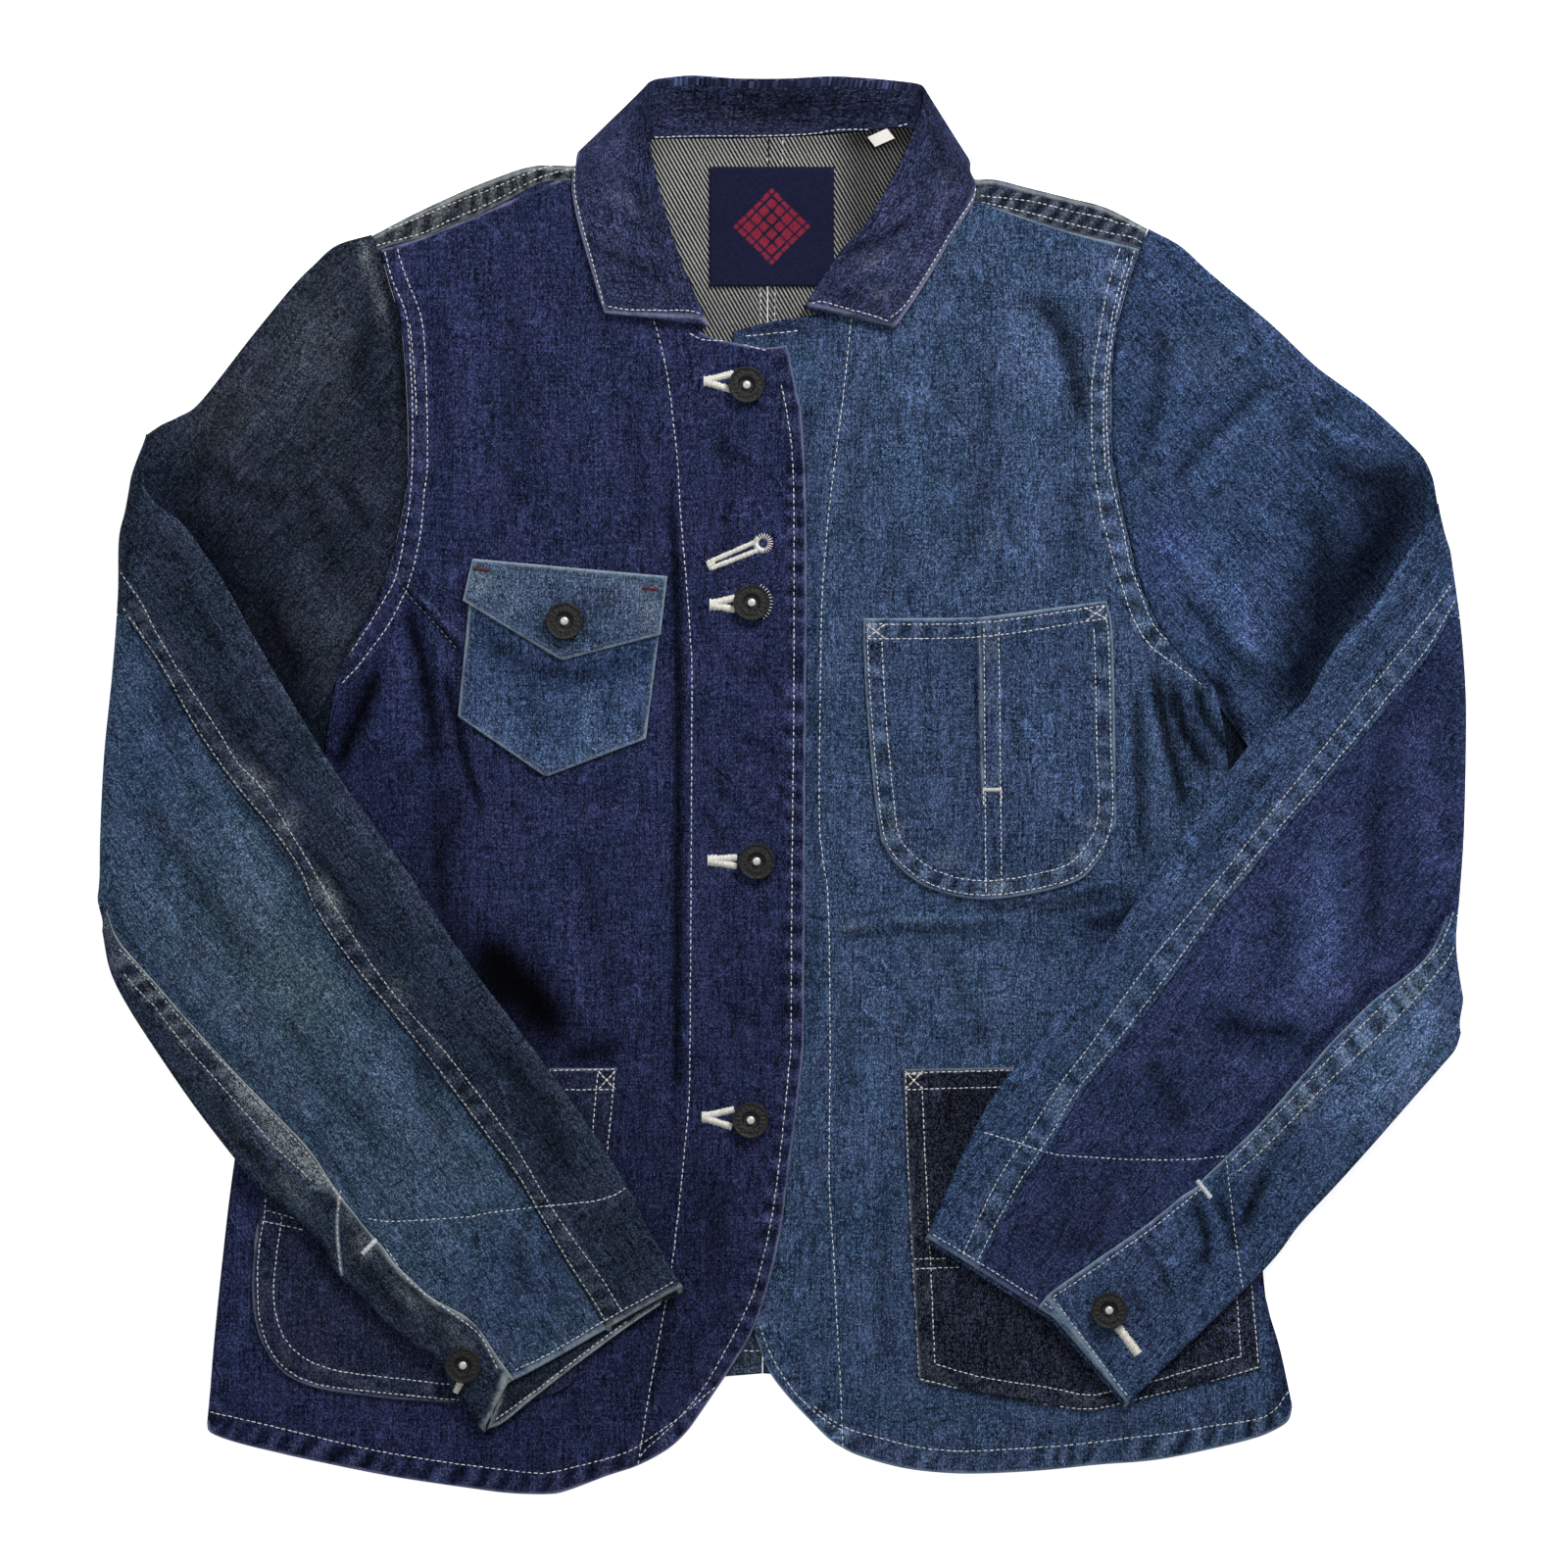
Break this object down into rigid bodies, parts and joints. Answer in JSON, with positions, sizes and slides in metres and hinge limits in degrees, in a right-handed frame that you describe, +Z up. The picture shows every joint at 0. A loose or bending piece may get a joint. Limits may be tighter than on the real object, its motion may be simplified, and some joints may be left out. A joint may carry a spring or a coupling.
{
  "type": "patchwork denim work jacket, laid flat with folded sleeves",
  "caption": "Short denim work jacket with panels in mixed indigo shades, turned-down collar, patch pockets and metal ring buttons, laid flat with its sleeves folded over the fronts.",
  "frame": {"origin": "middle of the footprint, on the surface the jacket lies on", "axes": "+Z up out of the surface, +Y from the hem to the collar, +X to the wearer's left"},
  "size_m": [0.626, 0.6519, 0.0148],
  "materials": {
    "denim_violet": "matte",
    "denim_teal": "matte",
    "denim_charcoal": "matte",
    "denim_pale": "matte",
    "denim_navy": "matte",
    "denim_black": "matte",
    "denim_slate": "matte",
    "label_cloth": "satin",
    "tag_cloth": "satin",
    "button_metal": "satin",
    "thread": "matte"
  },
  "bodies": {
    "root": {"back_right": "denim_slate", "back_left": "denim_navy", "front_right": "denim_violet", "front_left": "denim_teal", "collar": "denim_violet", "top_sleeve_right": "denim_charcoal", "under_sleeve_right": "denim_pale", "top_sleeve_left": "denim_teal", "under_sleeve_left": "denim_violet", "chest_pocket_right": "denim_pale", "chest_flap_right": "denim_pale", "chest_pocket_left": "denim_teal", "hip_pocket_right": "denim_navy", "hip_pocket_left": "denim_black", "neck_label": "label_cloth", "size_tag": "tag_cloth", "front_button_1": "button_metal", "front_button_2": "button_metal", "front_button_3": "button_metal", "front_button_4": "button_metal", "flap_button_right": "button_metal", "cuff_button_right": "button_metal", "cuff_button_left": "button_metal"}
  },
  "joints": []
}
